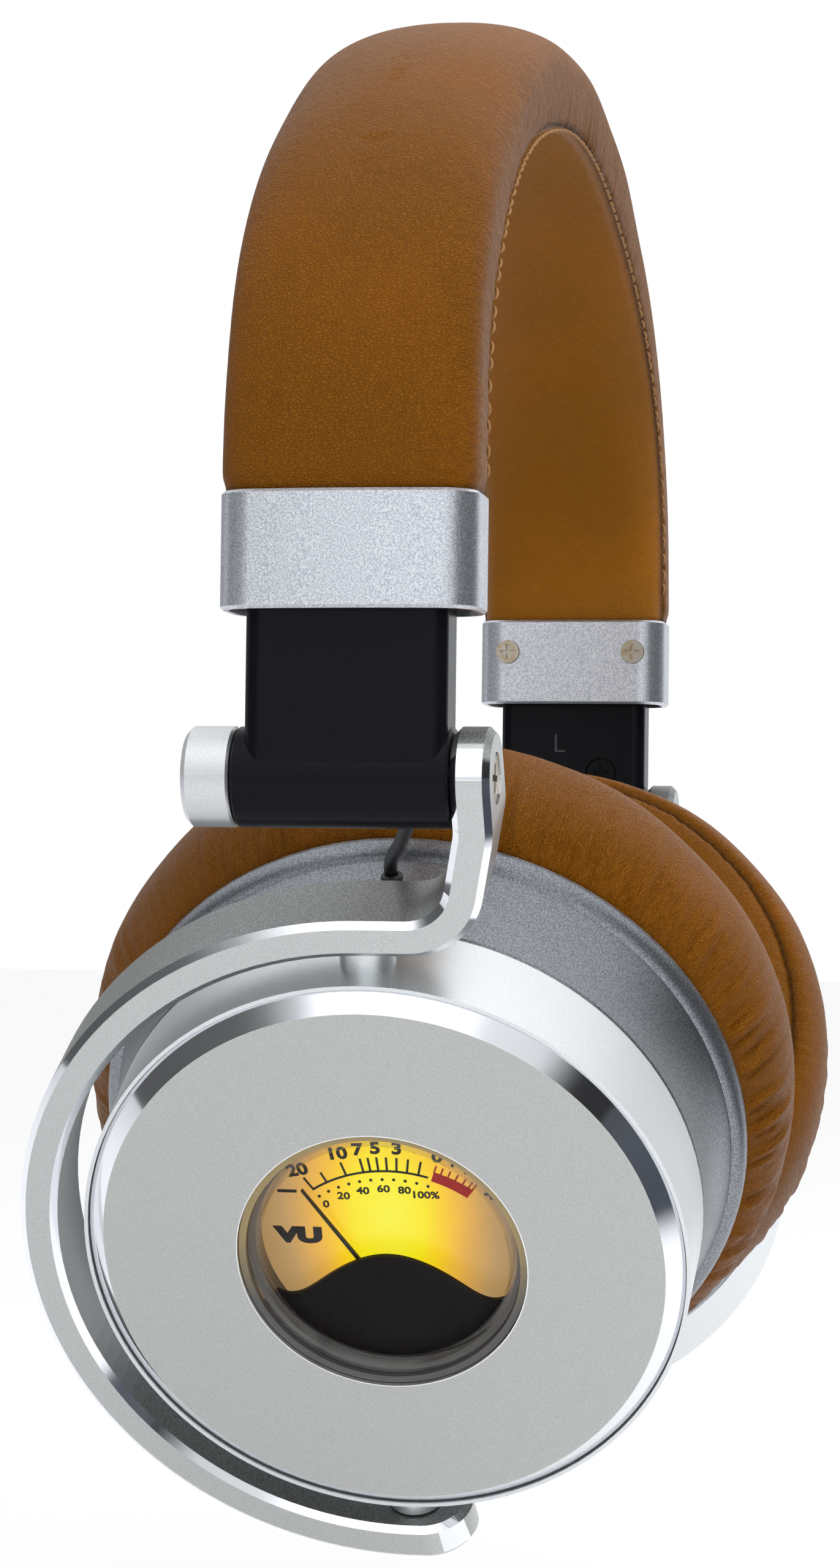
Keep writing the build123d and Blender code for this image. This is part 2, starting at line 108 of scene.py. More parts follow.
class Cup:
    """Axes and middle of one ear cup at rest."""

    def __init__(self, side):
        swivel = joints[f"{side}_swivel"]
        self.side = side
        self.front = Vector((0, -1, 0))
        self.out = -Vector(joints[f"{side}_needle_turn"]["axis"])
        self.up = Vector(swivel["axis"])
        if self.up.z < 0:
            self.up.negate()
        self.centre = Vector(swivel["pos_m"]) + self.out * pivot_back * mm
        self.reading = self.front if side == "right" else -self.front

    def place(self, u, v, h):
        return self.centre + (self.front * u + self.up * v + self.out * h) * mm

    def face(self, across, up, h):
        """Point of the meter as it reads from outside, so that both meters read left to right."""
        return self.centre + (self.reading * across + self.up * up + self.out * h) * mm


cups = {side: Cup(side) for side in sides}


# ======== shading
class Nodes:
    """Node tree of a material or a world, with short calls for the nodes used here."""

    def __init__(self, owner, output):
        owner.use_nodes = True
        self.tree = owner.node_tree
        self.tree.nodes.clear()
        self.output = self.tree.nodes.new("ShaderNodeOutput" + output)

    def node(self, kind, inputs=(), **settings):
        node = self.tree.nodes.new("ShaderNode" + kind)
        for name, value in settings.items():
            setattr(node, name, value)
        for key, value in dict(inputs).items():
            self.feed(node.inputs[key], value)
        return node

    def feed(self, socket, value):
        if isinstance(value, bpy.types.NodeSocket):
            self.tree.links.new(value, socket)
        else:
            socket.default_value = value

    def math(self, operation, a, b=0.0):
        return self.node("Math", {0: a, 1: b}, operation=operation).outputs[0]

    def times(self, a, b):
        return self.math("MULTIPLY", a, b)

    def plus(self, a, b):
        return self.math("ADD", a, b)

    def blend(self, factor, a, b):
        """Shader a where factor is 0, shader b where it is 1."""
        return self.node("MixShader", {0: factor, 1: a, 2: b}).outputs[0]

    def split(self, vector):
        return self.node("SeparateXYZ", {0: vector}).outputs

    def dot(self, a, b):
        return self.node("VectorMath", {0: a, 1: b}, operation="DOT_PRODUCT").outputs["Value"]

    def scaled(self, vector, factors):
        return self.node("VectorMath", {0: vector, 1: factors}, operation="MULTIPLY").outputs[0]

    def position(self):
        return self.node("TexCoord").outputs["Object"]

    def noise(self, vector, scale, detail=2.0, roughness=0.5):
        inputs = {"Vector": vector, "Scale": scale, "Detail": detail, "Roughness": roughness}
        return self.node("TexNoise", inputs).outputs["Fac"]

    def grain(self, *settings):
        """Noise laid out in the object's own space."""
        return self.noise(self.position(), *settings)

    def cells(self, vector, scale):
        """Distance to the nearest edge between irregular cells."""
        inputs = {"Vector": vector, "Scale": scale}
        return self.node("TexVoronoi", inputs, feature="DISTANCE_TO_EDGE").outputs["Distance"]

    def step(self, value, low, high):
        """0 below low, 1 above high, smooth between."""
        inputs = {"Value": value, "From Min": low, "From Max": high}
        return self.node("MapRange", inputs, interpolation_type="SMOOTHSTEP").outputs["Result"]

    def ramp(self, factor, stops):
        node = self.node("ValToRGB", {"Fac": factor})
        elements = node.color_ramp.elements
        while len(elements) < len(stops):
            elements.new(0.5)
        for element, (place, colour) in zip(elements, stops):
            element.position = place
            element.color = (*colour, 1)
        return node.outputs["Color"]

    def mix(self, factor, a, b):
        node = self.node("Mix", data_type="RGBA")
        for index, value in ((0, factor), (6, a), (7, b)):
            if not isinstance(value, bpy.types.NodeSocket) and index > 0:
                value = (*value, 1)
            self.feed(node.inputs[index], value)
        return node.outputs[2]

    def bump(self, height, distance, strength):
        inputs = {"Height": height, "Distance": distance, "Strength": strength}
        return self.node("Bump", inputs).outputs["Normal"]

    def principled(self, colour, **inputs):
        """Plain surface in a colour, given as a socket or three numbers."""
        if isinstance(colour, tuple):
            colour = (*colour, 1)
        named = {key.replace("_", " "): value for key, value in inputs.items()}
        return self.node("BsdfPrincipled", {"Base Color": colour, **named}).outputs[0]

    def radius(self, u, v):
        squares = self.plus(self.times(u, u), self.times(v, v))
        return self.math("SQRT", squares)

    def finish(self, surface):
        self.tree.links.new(surface, self.output.inputs["Surface"])


class Shading(Nodes):
    """Nodes of one new material."""

    def __init__(self, name):
        self.material = bpy.data.materials.new(name)
        super().__init__(self.material, "Material")

    def finish(self, surface):
        super().finish(surface)
        return self.material

    def coat(self, colour, **inputs):
        """Finished material of one principled surface."""
        return self.finish(self.principled(colour, **inputs))

    def cup_place(self):
        """(u, v, h) sockets in metres; both cups share one material because X is folded over."""
        x, y, z = self.split(self.position())
        folded = self.times(self.math("ABSOLUTE", x), -1.0)
        place = self.node("CombineXYZ", {0: folded, 1: y, 2: z}).outputs[0]
        cup = cups["right"]
        offset = self.node("VectorMath", {0: place, 1: cup.centre}, operation="SUBTRACT").outputs[0]
        return [self.dot(offset, axis) for axis in (cup.front, cup.up, cup.out)]


def leather_height(look, flat, gather):
    """(pebbles, creases, valleys, height) of the grain and of the lines drawn in towards seams."""
    wander = look.node("TexNoise", {"Vector": flat, "Scale": 0.6, "Detail": 3.0}).outputs["Color"]
    stretched = look.scaled(flat, (1.0, 1.9, 1.0))
    strayed = {0: stretched, 1: look.scaled(wander, (1.2, 1.2, 1.2))}
    bent = look.node("VectorMath", strayed, operation="ADD").outputs[0]
    pebbles = look.step(look.cells(bent, 1.85), 0.0, 0.2)
    creases = look.noise(bent, 0.9, 4.0, 0.6)
    pores = look.noise(flat, 5.5, 2.0, 0.5)
    lines = look.noise(look.scaled(flat, (0.36, 1.45, 1.0)), 1.0, 4.0, 0.62)
    valleys = look.times(look.step(lines, 0.5, 0.38), gather)
    height = look.plus(look.times(pebbles, 0.55), look.times(creases, 0.8))
    height = look.math("SUBTRACT", height, look.times(valleys, 1.9))
    height = look.plus(height, look.times(pores, 0.15))
    return pebbles, creases, valleys, height


def leather_tone(look, flat, pebbles, colour, deep):
    """Colour of the hide: darker between the pebbles, warmer in patches, deeper where worn."""
    patches = look.noise(flat, 0.04, 3.0, 0.55)
    worn = look.noise(flat, 0.16, 4.0, 0.6)
    warm = tuple(channel * gain for channel, gain in zip(colour, (1.12, 1.02, 0.6)))
    tone = look.mix(look.plus(0.45, look.times(pebbles, 0.5)), deep, colour)
    tone = look.mix(look.times(look.step(patches, 0.42, 0.66), 0.6), tone, warm)
    return look.mix(look.times(look.step(worn, 0.5, 0.75), 0.35), tone, deep)


def leather(name, colour, deep, grain=1.0):
    """Fine-grained leather; the UV map holds millimetres across and along the piece. Crease valleys and
    seams are darkened as painted shade.
    """
    look = Shading(name)
    flat = look.node("UVMap").outputs[0]
    seam = look.node("Attribute", attribute_name="seam").outputs["Fac"]
    gather = look.node("Attribute", attribute_name="gather").outputs["Fac"]
    pebbles, creases, valleys, height = leather_height(look, flat, gather)
    tone = leather_tone(look, flat, pebbles, colour, deep)
    # painted shade: the crease valleys are darkened towards the deep tone
    tone = look.mix(look.times(valleys, 0.3), tone, deep)
    # painted shadow: the seams are darkened almost to black
    seam_shadow_tone = tuple(channel * 0.12 for channel in deep)
    tone = look.mix(look.times(seam, 0.9), tone, seam_shadow_tone)
    return look.coat(
        tone, Roughness=look.plus(look.times(creases, 0.2), 0.33),
        Normal=look.bump(height, 0.00028 * grain, 0.7), Specular_IOR_Level=0.15,
        Specular_Tint=(1.0, 0.72, 0.42, 1.0)
    )


def sparkle(look, low, high, grain=6500.0):
    """Colour and normal of bead-blasted, anodised metal."""
    place = look.position()
    fine = look.noise(place, grain, 1.0, 0.6)
    coarse = look.noise(place, grain / 40, 3.0, 0.5)
    glint = look.step(fine, 0.3, 0.72)
    tone = look.mix(glint, low, high)
    height = look.plus(fine, look.times(coarse, 0.3))
    return tone, look.bump(height, 0.000022, 0.35)


def anodised(name, low, high, grain):
    """Bead-blasted aluminium."""
    look = Shading(name)
    tone, normal = sparkle(look, low, high, grain)
    return look.coat(
        tone, Metallic=0.9, Roughness=0.34, Normal=normal
    )


def polished(look):
    """Mirror-bright metal with faint polishing swirls."""
    swirl = look.grain(900.0, 3.0, 0.6)
    rough = look.plus(look.times(swirl, 0.05), 0.05)
    return look.principled((0.93, 0.94, 0.97), Metallic=1.0, Roughness=rough)


def outward_facing(look):
    """(facing, up): how far the surface faces along its own cup's axis and towards +Z."""
    true_normal = look.node("NewGeometry").outputs["True Normal"]
    local = look.node(
        "VectorTransform", {0: true_normal},
        vector_type="NORMAL", convert_from="WORLD", convert_to="OBJECT"
    ).outputs[0]
    across, _, up = look.split(local)
    out = cups["right"].out
    sign = look.math("SIGN", look.split(look.position())[0])
    along_x = look.times(look.times(across, sign), -out.x)
    return look.plus(along_x, look.times(up, out.z)), up


def yoke_metal():
    """Satin strap, painted darker on its upward-facing edges as shade, with polished chamfers along its
    outward face.
    """
    look = Shading("yoke_metal")
    tone, normal = sparkle(look, (0.50, 0.51, 0.50), (0.60, 0.61, 0.60))
    satin = look.principled(tone, Metallic=0.85, Roughness=0.34, Normal=normal)
    # painted shade: a darker copy of the metal for the edges that face upwards
    tone, normal = sparkle(look, (0.17, 0.175, 0.175), (0.30, 0.305, 0.30), 4200.0)
    shaded_edge_metal = look.principled(tone, Metallic=0.8, Roughness=0.42, Normal=normal)
    facing, up = outward_facing(look)
    above = look.math("GREATER_THAN", facing, 0.45)
    below = look.math("LESS_THAN", facing, 0.93)
    edge_on = look.math("LESS_THAN", facing, 0.40)
    upward_edge_shade = look.times(look.step(up, 0.25, 0.55), edge_on)
    body = look.blend(upward_edge_shade, satin, shaded_edge_metal)
    chamfer = look.times(above, below)
    return look.finish(look.blend(chamfer, body, polished(look)))


def housing_metal():
    """Light drum in front of the crease; behind it the sparkling skirt and its rolled lip, painted
    darker as shade.
    """
    look = Shading("housing_metal")
    height = look.cup_place()[2]
    drum_tone, drum_normal = sparkle(look, (0.70, 0.72, 0.73), (0.80, 0.82, 0.83))
    # painted shade: the skirt behind the crease gets a darker tone than the drum
    shaded_skirt_tone, skirt_normal = sparkle(look, (0.165, 0.175, 0.195), (0.345, 0.358, 0.38), 5000.0)
    drum = look.principled(drum_tone, Metallic=0.85, Roughness=0.33, Normal=drum_normal)
    skirt = look.principled(shaded_skirt_tone, Metallic=0.9, Roughness=0.36, Normal=skirt_normal)
    in_front = look.step(height, -(crease_depth + 0.2) * mm, -(crease_depth - 0.2) * mm)
    return look.finish(look.blend(in_front, skirt, drum))


def disc_metal():
    """Satin warm-grey face inside a polished bevel."""
    look = Shading("disc_metal")
    u, v, _ = look.cup_place()
    radius = look.radius(u, v)
    grain = look.grain(5200.0, 2.0, 0.6)
    tone = look.mix(look.step(grain, 0.3, 0.72), (0.44, 0.45, 0.43), (0.52, 0.53, 0.51))
    normal = look.bump(grain, 0.00004, 0.35)
    satin = look.principled(tone, Metallic=0.45, Roughness=0.48, Normal=normal)
    rim = look.step(radius, (disc_face_radius - 0.05) * mm, (disc_face_radius + 0.02) * mm)
    hole = look.math("LESS_THAN", radius, (meter_radius + 0.12) * mm)
    edge = look.math("MAXIMUM", rim, hole)
    return look.finish(look.blend(edge, satin, polished(look)))


def gloss_black(name, roughness, colour=(0.0045, 0.0045, 0.0065), gleam=0.09):
    """Smooth black plastic with faint smears."""
    look = Shading(name)
    smear = look.grain(140.0, 4.0, 0.6)
    rough = look.plus(look.times(smear, 0.14), roughness - 0.05)
    normal = look.bump(look.grain(2200.0, 2.0), 0.00002, 0.15)
    return look.coat(
        colour, Roughness=rough, Normal=normal, Specular_IOR_Level=gleam
    )


def matte(name, colour, roughness=0.6, grain=1800.0):
    """Fine-textured plain finish."""
    look = Shading(name)
    fine = look.grain(grain, 3.0, 0.6)
    tone = look.mix(look.step(fine, 0.3, 0.7), tuple(c * 0.75 for c in colour), colour)
    return look.coat(
        tone, Roughness=roughness, Normal=look.bump(fine, 0.00008, 0.4)
    )


def plated(name, colour):
    """Nickel screws with brassy worn patches."""
    look = Shading(name)
    wear = look.grain(700.0, 4.0, 0.6)
    tone = look.mix(look.step(wear, 0.42, 0.7), colour, (0.46, 0.34, 0.18))
    rough = look.plus(look.times(wear, 0.25), 0.2)
    return look.coat(tone, Metallic=1.0, Roughness=rough)


def clear_lens():
    """Thin clear cover: see-through, with a mirror-like sheen and a greyer moulded rim."""
    look = Shading("lens_clear")
    u, v, _ = look.cup_place()
    rim = look.step(look.radius(u, v), 14.5 * mm, 15.1 * mm)
    tint = look.mix(rim, (0.97, 0.97, 0.97), (0.74, 0.72, 0.69))
    clear = look.node("BsdfTransparent", {0: tint}).outputs[0]
    ripple = look.bump(look.grain(500.0, 2.0), 0.00002, 0.1)
    gloss = look.node("BsdfGlossy", {"Roughness": 0.03, "Normal": ripple}).outputs[0]
    fresnel = look.node("Fresnel", {"IOR": 1.45}).outputs[0]
    strength = look.plus(0.08, look.times(rim, 1.6))
    return look.finish(look.blend(look.times(fresnel, strength), clear, gloss))


def dial_glow():
    """Backlit dial: yellow in the middle, orange and then tan towards its sides."""
    look = Shading("dial_glow")
    u, v, _ = look.cup_place()
    lamp_v = look.times(look.math("SUBTRACT", v, 2.5 * mm), 0.55)
    spread = look.math("DIVIDE", look.radius(u, lamp_v), 16 * mm)
    mottle = look.grain(260.0, 3.0, 0.5)
    uneven = look.times(look.math("SUBTRACT", mottle, 0.5), 0.10)
    spread = look.plus(spread, uneven)
    tone = look.ramp(spread, (
        (0.0, (1.0, 0.96, 0.05)), (0.26, (1.0, 0.86, 0.0)), (0.42, (1.0, 0.62, 0.005)),
        (0.58, (0.80, 0.42, 0.06)), (0.78, (0.47, 0.29, 0.11)), (1.0, (0.36, 0.23, 0.10)),
    ))
    glow = look.node("Emission", {"Color": tone, "Strength": 0.92}).outputs[0]
    print_film = look.principled((0.10, 0.06, 0.02), Roughness=0.3)
    return look.finish(look.node("AddShader", {0: glow, 1: print_film}).outputs[0])


def meter_surround():
    """Bronze ring round the dial, with painted light on its upper part and painted shade below."""
    look = Shading("bezel_bronze")
    v = look.cup_place()[1]
    brushed = look.noise(look.scaled(look.position(), (1.0, 1.0, 9.0)), 900.0, 3.0)
    lit = look.mix(brushed, (0.30, 0.22, 0.10), (0.40, 0.31, 0.16))
    # painted light and shade: dark tone below, lit bronze above
    tone = look.mix(look.step(v, -8 * mm, 5 * mm), (0.11, 0.105, 0.10), lit)
    return look.coat(tone, Metallic=0.5, Roughness=0.28)


def driver_fabric():
    """Woven acoustic cloth."""
    look = Shading("driver_fabric")
    u, v, _ = look.cup_place()
    pitch = 2 * pi / (0.55 * mm)
    warp = look.math("SINE", look.times(u, pitch))
    weft = look.math("SINE", look.times(v, pitch))
    weave = look.times(warp, weft)
    tone = look.mix(look.step(weave, -1.0, 1.0), (0.012, 0.012, 0.012), (0.06, 0.06, 0.06))
    return look.coat(
        tone, Roughness=0.85, Sheen_Weight=0.3, Normal=look.bump(weave, 0.0001, 0.8)
    )


tan = leather("tan_leather", (0.176, 0.060, 0.0025), (0.112, 0.035, 0.0015))
pad_tan = leather("pad_leather", (0.245, 0.092, 0.008), (0.195, 0.070, 0.006), 0.55)
silver = anodised("silver", (0.45, 0.47, 0.52), (0.78, 0.80, 0.84), 5000.0)
cap_silver = anodised("cap_silver", (0.60, 0.61, 0.62), (0.70, 0.71, 0.72), 6500.0)
black = gloss_black("arm_black", 0.22)
lens_black = gloss_black("meter_black", 0.3, (0.006, 0.0045, 0.004), 0.08)
plastic = matte("black_plastic", (0.03, 0.03, 0.032))
rubber = matte("cable_rubber", (0.02, 0.02, 0.022), 0.45)
steel = plated("screw_steel", (0.50, 0.47, 0.42))
ink = matte("dial_ink", (0.012, 0.008, 0.006), 0.5)
red_ink = matte("dial_red", (0.50, 0.006, 0.004), 0.5)
thread = matte("thread", (0.34, 0.17, 0.055), 0.7, 5200.0)
grey_mark = matte("grey_mark", (0.035, 0.035, 0.04), 0.5)

finishes = {
    "collar": silver, "collar_screws": steel, "slider_arm": black, "slider_guide": plastic,
    "slider_screw": black, "hinge_pin": steel, "hinge_cap": cap_silver, "hinge_screw": steel,
    "yoke": yoke_metal(), "pivot_pins": steel, "cup_housing": housing_metal(), "face_disc": disc_metal(),
    "meter_lens": clear_lens(), "meter_bezel": meter_surround(), "meter_dial": dial_glow(),
    "meter_mask": lens_black, "meter_movement": plastic, "meter_needle": ink, "baffle": plastic,
    "driver": plastic, "driver_cloth": driver_fabric(), "cushion_ring": plastic, "housing_screws": steel,
    "grommet": rubber, "headband_spring": steel, "audio_socket": steel, "charge_port": steel,
    "noise_switch": black, "battery": matte("battery_wrap", (0.5, 0.5, 0.52)),
    "circuit_board": matte("board_green", (0.02, 0.12, 0.05)),
    "link_cable": rubber, "cushion": tan, "headband_cover": tan, "headband_pad": pad_tan,
}


def dress_frame():
    """Give every CAD piece the finish of its kind."""
    for name, node in nodes.items():
        kind = name.removeprefix("right_").removeprefix("left_")
        node.data.materials.clear()
        node.data.materials.append(finishes[kind])


# ======== mesh helpers
def falloff(distance, width):
    """1 at no distance, fading to 0 past the width."""
    return math.exp(-((distance / width) ** 2))


def placed(name, data):
    """New object in the scene."""
    thing = bpy.data.objects.new(name, data)
    scene.collection.objects.link(thing)
    return thing


def mesh_object(name, vertices, faces, material, uvs=None, smooth=True):
    """Mesh object from vertex and face lists; uvs holds one (u, v) per face corner."""
    mesh = bpy.data.meshes.new(name)
    mesh.from_pydata([tuple(vertex) for vertex in vertices], [], faces)
    if uvs:
        layer = mesh.uv_layers.new(name="UVMap")
        for loop, uv in zip(layer.data, uvs):
            loop.uv = uv
    mesh.materials.append(material)
    mesh.validate()
    piece = placed(name, mesh)
    for polygon in mesh.polygons:
        polygon.use_smooth = smooth
    return piece


def mark_points(piece, name, values):
    """Store one number per vertex for the piece's material."""
    layer = piece.data.attributes.new(name, "FLOAT", "POINT")
    layer.data.foreach_set("value", values)


def evaluated(thing):
    """The object as its modifiers leave it."""
    return thing.evaluated_get(bpy.context.evaluated_depsgraph_get())


def apply_modifier(piece, kind, **settings):
    """Bake one modifier into the piece's mesh."""
    modifier = piece.modifiers.new(kind.lower(), kind)
    for name, value in settings.items():
        setattr(modifier, name, value)
    mesh = bpy.data.meshes.new_from_object(evaluated(piece))
    piece.modifiers.clear()
    piece.data = mesh


def face_outwards(piece):
    form = bmesh.new()
    form.from_mesh(piece.data)
    bmesh.ops.recalc_face_normals(form, faces=form.faces)
    form.to_mesh(piece.data)
    form.free()


def inflate(piece, held, pressure, limit):
    """Blow a closed leather skin up from inside, moving no point further than the limit."""
    start = [vertex.co.copy() for vertex in piece.data.vertices]
    group = piece.vertex_groups.new(name="held")
    group.add(held, 1.0, "REPLACE")
    cloth = piece.modifiers.new("cloth", "CLOTH")
    settings = cloth.settings
    settings.quality = 6
    settings.mass = 0.25
    settings.tension_stiffness = 12
    settings.compression_stiffness = 12
    settings.bending_stiffness = 0.6
    settings.use_pressure = True
    settings.uniform_pressure_force = pressure
    settings.vertex_group_mass = "held"
    settings.effector_weights.gravity = 0
    for step in range(1, cloth_frames + 1):
        scene.frame_set(step)
    blown = [vertex.co.copy() for vertex in evaluated(piece).data.vertices]
    piece.modifiers.clear()
    piece.vertex_groups.clear()
    scene.frame_set(1)
    for vertex, before, after in zip(piece.data.vertices, start, blown):
        move = after - before
        if move.length > limit:
            move *= limit / move.length
        vertex.co = before + move


def curve_point(p, t):
    """Point at share t between p[1] and p[2] on a smooth curve through four points."""
    return 0.5 * (
        2 * p[1] + (p[2] - p[0]) * t + (2 * p[0] - 5 * p[1] + 4 * p[2] - p[3]) * t * t
        + (3 * p[1] - p[0] - 3 * p[2] + p[3]) * t ** 3
    )


def smooth_loop(points, count):
    """Evenly spaced points on a smooth closed curve through the given ones."""
    fine = []
    total = len(points)
    for i in range(total):
        p = [Vector(points[(i + k - 1) % total]) for k in range(4)]
        fine.extend(curve_point(p, j / 24) for j in range(24))
    lengths = [0.0]
    for i in range(len(fine)):
        lengths.append(lengths[-1] + (fine[(i + 1) % len(fine)] - fine[i]).length)
    result = []
    k = 0
    for i in range(count):
        goal = lengths[-1] * i / count
        while lengths[k + 1] < goal:
            k += 1
        share = (goal - lengths[k]) / max(lengths[k + 1] - lengths[k], 1e-9)
        result.append(fine[k].lerp(fine[(k + 1) % len(fine)], share))
    return result, lengths[-1]


def ring_faces(rings, points, closed):
    """Quads between consecutive rings of points."""
    faces = []
    for i in range(rings if closed else rings - 1):
        for j in range(points):
            a = i * points + j
            b = i * points + (j + 1) % points
            after = (i + 1) % rings
            faces.append((a, b, after * points + (j + 1) % points, after * points + j))
    return faces


def tube_faces(rings, points):
    """Quads along an open run of rings, and a cap at either end."""
    last = (rings - 1) * points
    caps = [tuple(range(points)), tuple(last + k for k in reversed(range(points)))]
    return ring_faces(rings, points, False) + caps


# ======== ear cushions
cushion_section = (
    (36.4, -30.0), (37.6, -28.95), (39.3, -29.0), (41.6, -31.4), (43.6, -35.6), (44.3, -41.0),
    (43.9, -46.2), (41.8, -50.4), (38.0, -52.7), (33.0, -53.3), (28.0, -52.9), (24.2, -50.6),
    (22.2, -46.4), (21.9, -41.0), (22.8, -36.0), (24.6, -31.6), (27.5, -30.7), (32.0, -30.7),
)
cushion_rings = 120
cushion_points = 36
cushion_middle = 40  # radius at which the leather's grain is laid out
flange_hold = -31.2  # the flange is held still above this depth
flange_depth = -30.5
ear_face = -53.7  # nothing reaches past this depth
cloth_frames = 20
cloth_pressure = 5.0
cloth_limit = 1.6  # mm a point may move
seam_radius = 40.6  # seam between the side panel and the ear panel
seam_height = -51.2


def make_cushion(cup):
    """Closed leather ring, blown up like a filled cushion, then seamed and wrinkled."""
    section, length = smooth_loop(cushion_section, cushion_points)
    vertices = []
    for i in range(cushion_rings):
        angle = 2 * pi * i / cushion_rings
        for r, h in section:
            vertices.append(cup.place(r * cos(angle), r * sin(angle), h))
    faces = ring_faces(cushion_rings, cushion_points, True)
    around = 2 * pi * cushion_middle / cushion_rings
    along = length / cushion_points
    uvs = []
    for i in range(cushion_rings):
        for j in range(cushion_points):
            corners = ((i, j), (i, j + 1), (i + 1, j + 1), (i + 1, j))
            uvs.extend((n * along, m * around) for m, n in corners)
    piece = mesh_object(f"{cup.side}_ear_cushion", vertices, faces, tan, uvs)
    held = [k for k, vertex in enumerate(piece.data.vertices)
            if (vertex.co - cup.centre).dot(cup.out) > flange_hold * mm]
    inflate(piece, held, cloth_pressure, cloth_limit * mm)
    apply_modifier(piece, "SUBSURF", levels=2, render_levels=2)
    crease_cushion(piece, cup)
    face_outwards(piece)
    return piece


def cushion_creases(u, v, h):
    """(outward lift in mm, weight of the painted seam shadow, gather weight) at a place on the cushion.
    """
    r = math.hypot(u, v)
    angle = math.atan2(v, u)
    spot = Vector((cos(angle), sin(angle), 0))
    fold = noise.noise(spot * 21 + Vector((0, 0, h * 0.03)))
    fine = noise.noise(spot * 47 + Vector((5, 0, h * 0.08)))
    drift = noise.noise(spot * 2.2 + Vector((0, 9, 0)))
    strength = 0.55 + 0.6 * drift + 0.35 * cos(angle - radians(35))
    valley = max(0.0, 1 - abs(fold) / 0.22) ** 2
    near_flange = falloff(h - flange_depth, 7.0) if r > 36 else 0.0
    near_opening = falloff(r - 22, 3.0) * 0.3
    swell = noise.noise(spot * 3.1 + Vector((0, 0, h * 0.05))) * 0.35
    drawn_in = max(strength, 0.1) * max(near_flange, near_opening)
    wrinkle = (fold * 0.75 + fine * 0.3 - valley * 0.8) * drawn_in
    from_seam = math.hypot(r - seam_radius, h - seam_height)
    groove = 0.95 * falloff(from_seam, 0.95)
    pucker = fine * 0.3 * falloff(from_seam, 2.6)
    grip = min(1.0, max(0.0, (-h - 29.2) / 1.5)) if r > 36 else 1.0
    gather = max(near_flange * max(strength, 0.15), near_opening, falloff(from_seam, 3) * 0.35)
    lift = (wrinkle + swell + pucker - groove) * grip
    return lift, falloff(from_seam, 0.55), 0.6 * gather


def crease_cushion(piece, cup):
    """Wrinkles drawn in towards the flange and the opening, and the ear panel's sewn seam."""
    piece.data.update()
    normals = [vertex.normal.copy() for vertex in piece.data.vertices]
    seam_shadows = []
    gathers = []
    for vertex, normal in zip(piece.data.vertices, normals):
        offset = vertex.co - cup.centre
        place = (offset.dot(axis) / mm for axis in (cup.front, cup.up, cup.out))
        lift, seam, gather = cushion_creases(*place)
        seam_shadows.append(seam)
        gathers.append(gather)
        vertex.co += normal * lift * mm
        depth = (vertex.co - cup.centre).dot(cup.out) / mm
        if depth < ear_face:
            vertex.co += cup.out * (ear_face - depth) * mm
    # weights of the painted shadow along the seam, for the leather's colour
    mark_points(piece, "seam", seam_shadows)
    mark_points(piece, "gather", gathers)
    piece.data.update()


def mirrored(piece, name):
    """Mirror image of a piece in the YZ plane."""
    mesh = piece.data.copy()
    mesh.name = name
    mesh.transform(Matrix.Scale(-1, 4, (1, 0, 0)))
    mesh.flip_normals()
    return placed(name, mesh)


# ======== headband
band_rings = 340
leg_steps = 40
arch_steps = 1200
seam_across = 14.25  # seam between cover and pad, at the collars
seam_outward = -3.4
cover_rise = 6.7
pad_depth = 6.6
skin_across = 14  # half sizes that set which way the cover's skin faces
skin_outward = 7


def band_path():
    """(middle, outward normal, distance along) of even stations, right leg to left, in mm."""
    spring_line = leg_straight - crown_height
    fine = []
    for i in range(leg_steps + 1):
        fine.append(Vector((-hinge_x, -crown_height + leg_straight * i / leg_steps)))
    for i in range(1, arch_steps + 1):
        angle = pi - pi * i / arch_steps
        fine.append(Vector((hinge_x * cos(angle), spring_line + arch_rise * sin(angle))))
    for i in range(1, leg_steps + 1):
        fine.append(Vector((hinge_x, spring_line - leg_straight * i / leg_steps)))
    lengths = [0.0]
    for a, b in zip(fine, fine[1:]):
        lengths.append(lengths[-1] + (b - a).length)
    stations = []
    k = 0
    for i in range(band_rings):
        goal = lengths[-1] * i / (band_rings - 1)
        while k < len(fine) - 2 and lengths[k + 1] < goal:
            k += 1
        share = (goal - lengths[k]) / (lengths[k + 1] - lengths[k])
        middle = fine[k].lerp(fine[k + 1], share)
        low = fine[max(k - 6, 0)]
        high = fine[min(k + 7, len(fine) - 1)]
        tangent = (high - low).normalized()
        stations.append((middle, Vector((-tangent.y, tangent.x)), goal))
    return stations, lengths[-1]


stations, band_length = band_path()


def crown_share(distance):
    """0 at either collar, 1 at the crown."""
    return sin(pi * distance / band_length)


def from_collar(distance, near, far):
    """0 within near mm of either collar, 1 beyond far mm, smooth between."""
    share = (min(distance, band_length - distance) - near) / (far - near)
    share = min(1.0, max(0.0, share))
    return share * share * (3 - 2 * share)


def end_tuck(distance):
    """How far the leather draws in where a collar grips it."""
    return 0.45 * falloff(min(distance, band_length - distance), 1.1)


def band_point(station, across, outward):
    """Place in metres at (across, outward) mm from the middle of the band's section."""
    place = station[0] + station[1] * outward
    return Vector((place.x * mm, across * mm, place.y * mm))


def seam_place(distance):
    """(across, outward) of the seam between cover and pad."""
    deep = from_collar(distance, 15, 95)
    return Vector((seam_across - 0.9 * deep, seam_outward - 4.0 * deep))


side_points = 10
arch_points = 56
pad_points = 44
stitch_pitch = 2.6
stitch_rings = 7
stitch_sides = 6


